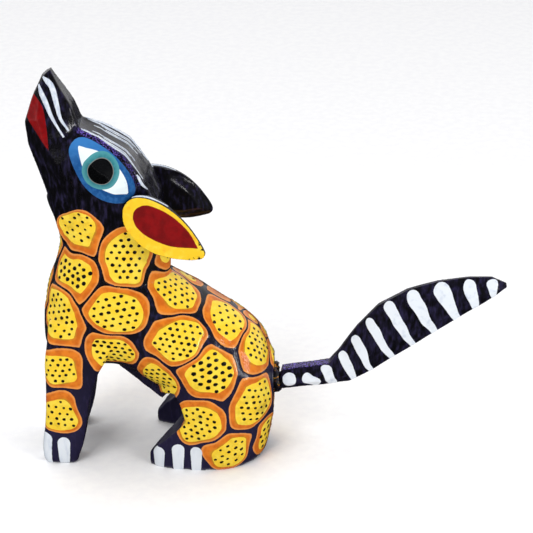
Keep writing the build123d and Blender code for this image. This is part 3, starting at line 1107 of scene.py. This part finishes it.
def tail_finish():
    paint = Finish("tail_paint")
    # painted highlight: violet glints over the stub's top
    colour = painted_glints(paint, dark_paint(paint, 0.35), paint.field("stub_top"))
    white = paint.edge(paint.field("white"), 0.1)
    colour = paint.mix(white, colour, paint.tones(WHITE, GREY_WHITE, 2.4, 0.5, 0.85))
    colour = with_bare_wood(paint, colour)
    height = paint.total(paint.times(white, 0.5), brush_marks(paint))
    return paint.finish(colour, 0.45, height, 0.12, coat=0.6, coat_roughness=0.12, specular=0.12)


def dowel_finish():
    paint = Finish("bare_wood")
    height = paint.noise(0.35, 4.0, stretch=(0.06, 1, 1))
    colour = paint.mix(paint.edge(paint.field("smear"), 0.3), wood_colour(paint), dark_paint(paint))
    return paint.finish(colour, 0.65, height, 0.08, specular=0.3)


def collar_finish():
    paint = Finish("collar_paint")
    crumbs = paint.ramp(paint.noise(1.0, 3.0), 0.58, 0.64)
    colour = paint.mix(crumbs, dark_paint(paint), paint.tones(ORANGE, OLIVE, 1.5))
    return paint.finish(colour, 0.4, paint.noise(0.4, 4.0), 0.15, coat=0.3)


for material, *pieces in (
    (body_finish(), body),
    (dot_finish(), dots),
    (stroke_finish(), strokes, *ear_strokes),
    (ear_finish(), *ears),
    (tail_finish(), tail),
    (dowel_finish(), dowel),
    (collar_finish(), collar),
):
    for piece in pieces:
        piece.data.materials.clear()
        piece.data.materials.append(material)


# ---- floor, light and camera
FLOOR_RADIUS = 4000
FLOOR_SIDES = 64
FLOOR_COLOURS = (srgb(249, 249, 250), srgb(253, 253, 253))
FLAG_CORNERS = [(-1500, 1200, 1), (1500, 1200, 1), (1500, -1500, 1), (-1500, -1500, 1)]
FLAG_COLOURS = (BLACK, srgb(26, 26, 30))
# Each light's kind, place, aim, power and size: two sides in mm, or the spread of a sky in degrees.
LIGHTS = {
    "sky": ("SUN", (-0.1, 0.15, 1.0), (0, 0, 0), 1.4, 50),
    "key": ("AREA", (-500, -700, 900), (0, 0, 60), 7.2, (600, 600)),
    "fill": ("AREA", (700, -500, 500), (0, 0, 60), 2.5, (500, 500)),
    "window": ("AREA", (720, -640, 310), (-20, -18, 50), 1.4, (45, 480)),
}
WINDOW_ROLL = math.radians(-23)


def make_floor():
    angles = np.linspace(0, 2 * math.pi, FLOOR_SIDES, endpoint=False)
    rim = [(math.cos(a) * FLOOR_RADIUS, math.sin(a) * FLOOR_RADIUS, 0) for a in angles]
    floor = add_object("floor", solid_mesh("floor", rim, [tuple(range(FLOOR_SIDES))]))
    paint = Finish("floor_paper")
    colour = paint.tones(*FLOOR_COLOURS, 4)
    floor.data.materials.append(paint.finish(colour, 0.8, paint.noise(1.5), 0.02, specular=0.2))


def make_light(name, kind, place, aim, power, size):
    """A soft light. Only the window shows up as a highlight in the paint."""
    data = bpy.data.lights.new(name, kind)
    data.energy = power
    if kind == "SUN":
        data.angle = math.radians(size)
    else:
        data.shape = "RECTANGLE"
        data.size, data.size_y = size[0] * MM, size[1] * MM
    light = add_object(name, data)
    light.visible_glossy = name == "window"
    light.location = Vector(place) * MM
    light.rotation_mode = "QUATERNION"
    turn = (Vector(aim) - Vector(place)).to_track_quat("-Z", "Y")
    light.rotation_quaternion = turn @ Quaternion((0, 0, 1), WINDOW_ROLL if name == "window" else 0)


CENTRE = Vector((-1.25, 0.0, 75.7))
CAMERA_TURN = math.radians(2.5)
CAMERA_RISE = math.radians(26)
CAMERA_DISTANCE = 740.0
CAMERA_LENS = 135.1
CAMERA_SENSOR = 36


def make_camera():
    data = bpy.data.cameras.new("camera")
    data.lens = CAMERA_LENS
    data.sensor_width = CAMERA_SENSOR
    camera = add_object("camera", data)
    level = math.cos(CAMERA_RISE)
    back = Vector((math.sin(CAMERA_TURN) * level, -math.cos(CAMERA_TURN) * level, math.sin(CAMERA_RISE)))
    camera.location = (CENTRE + back * CAMERA_DISTANCE) * MM
    camera.rotation_mode = "QUATERNION"
    camera.rotation_quaternion = (-back).to_track_quat("-Z", "Y")
    bpy.context.scene.camera = camera


STUDIO_DIM = (0.10, 0.10, 0.12, 1.0)
STUDIO_BRIGHT = (0.95, 0.95, 0.96, 1.0)
STUDIO_FADE = (-0.2, 0.6)  # from front to back, where one becomes the other
STUDIO_POWER = 0.75


def make_world():
    """A studio that is bright behind the animal and dim behind the camera."""
    world = bpy.data.worlds.new("studio")
    bpy.context.scene.world = world
    world.use_nodes = True
    tree = world.node_tree
    background = tree.nodes["Background"]
    way = tree.nodes.new("ShaderNodeSeparateXYZ")
    tree.links.new(tree.nodes.new("ShaderNodeTexCoord").outputs["Generated"], way.inputs[0])
    behind = tree.nodes.new("ShaderNodeMapRange")
    behind.interpolation_type = "SMOOTHSTEP"
    behind.inputs["From Min"].default_value, behind.inputs["From Max"].default_value = STUDIO_FADE
    tree.links.new(way.outputs["Y"], behind.inputs["Value"])
    shade = tree.nodes.new("ShaderNodeMix")
    shade.data_type = "RGBA"
    tree.links.new(behind.outputs["Result"], shade.inputs[0])
    shade.inputs[6].default_value = STUDIO_DIM
    shade.inputs[7].default_value = STUDIO_BRIGHT
    tree.links.new(shade.outputs[2], background.inputs["Color"])
    background.inputs["Strength"].default_value = STUDIO_POWER


def make_flag():
    """A black card on the floor, as a photographer sets one, that only reflections see."""
    flag = add_object("flag", solid_mesh("flag", FLAG_CORNERS, [(3, 2, 1, 0)]))
    for ray in ("camera", "diffuse", "shadow", "transmission"):
        setattr(flag, "visible_" + ray, False)
    card = Finish("flag_card")
    flag.data.materials.append(card.finish(card.tones(*FLAG_COLOURS, 40), 0.9, card.noise(2.0), 0.02))


make_floor()
make_flag()
make_world()
for name, light in LIGHTS.items():
    make_light(name, *light)
make_camera()
bpy.context.scene.view_settings.view_transform = "Standard"
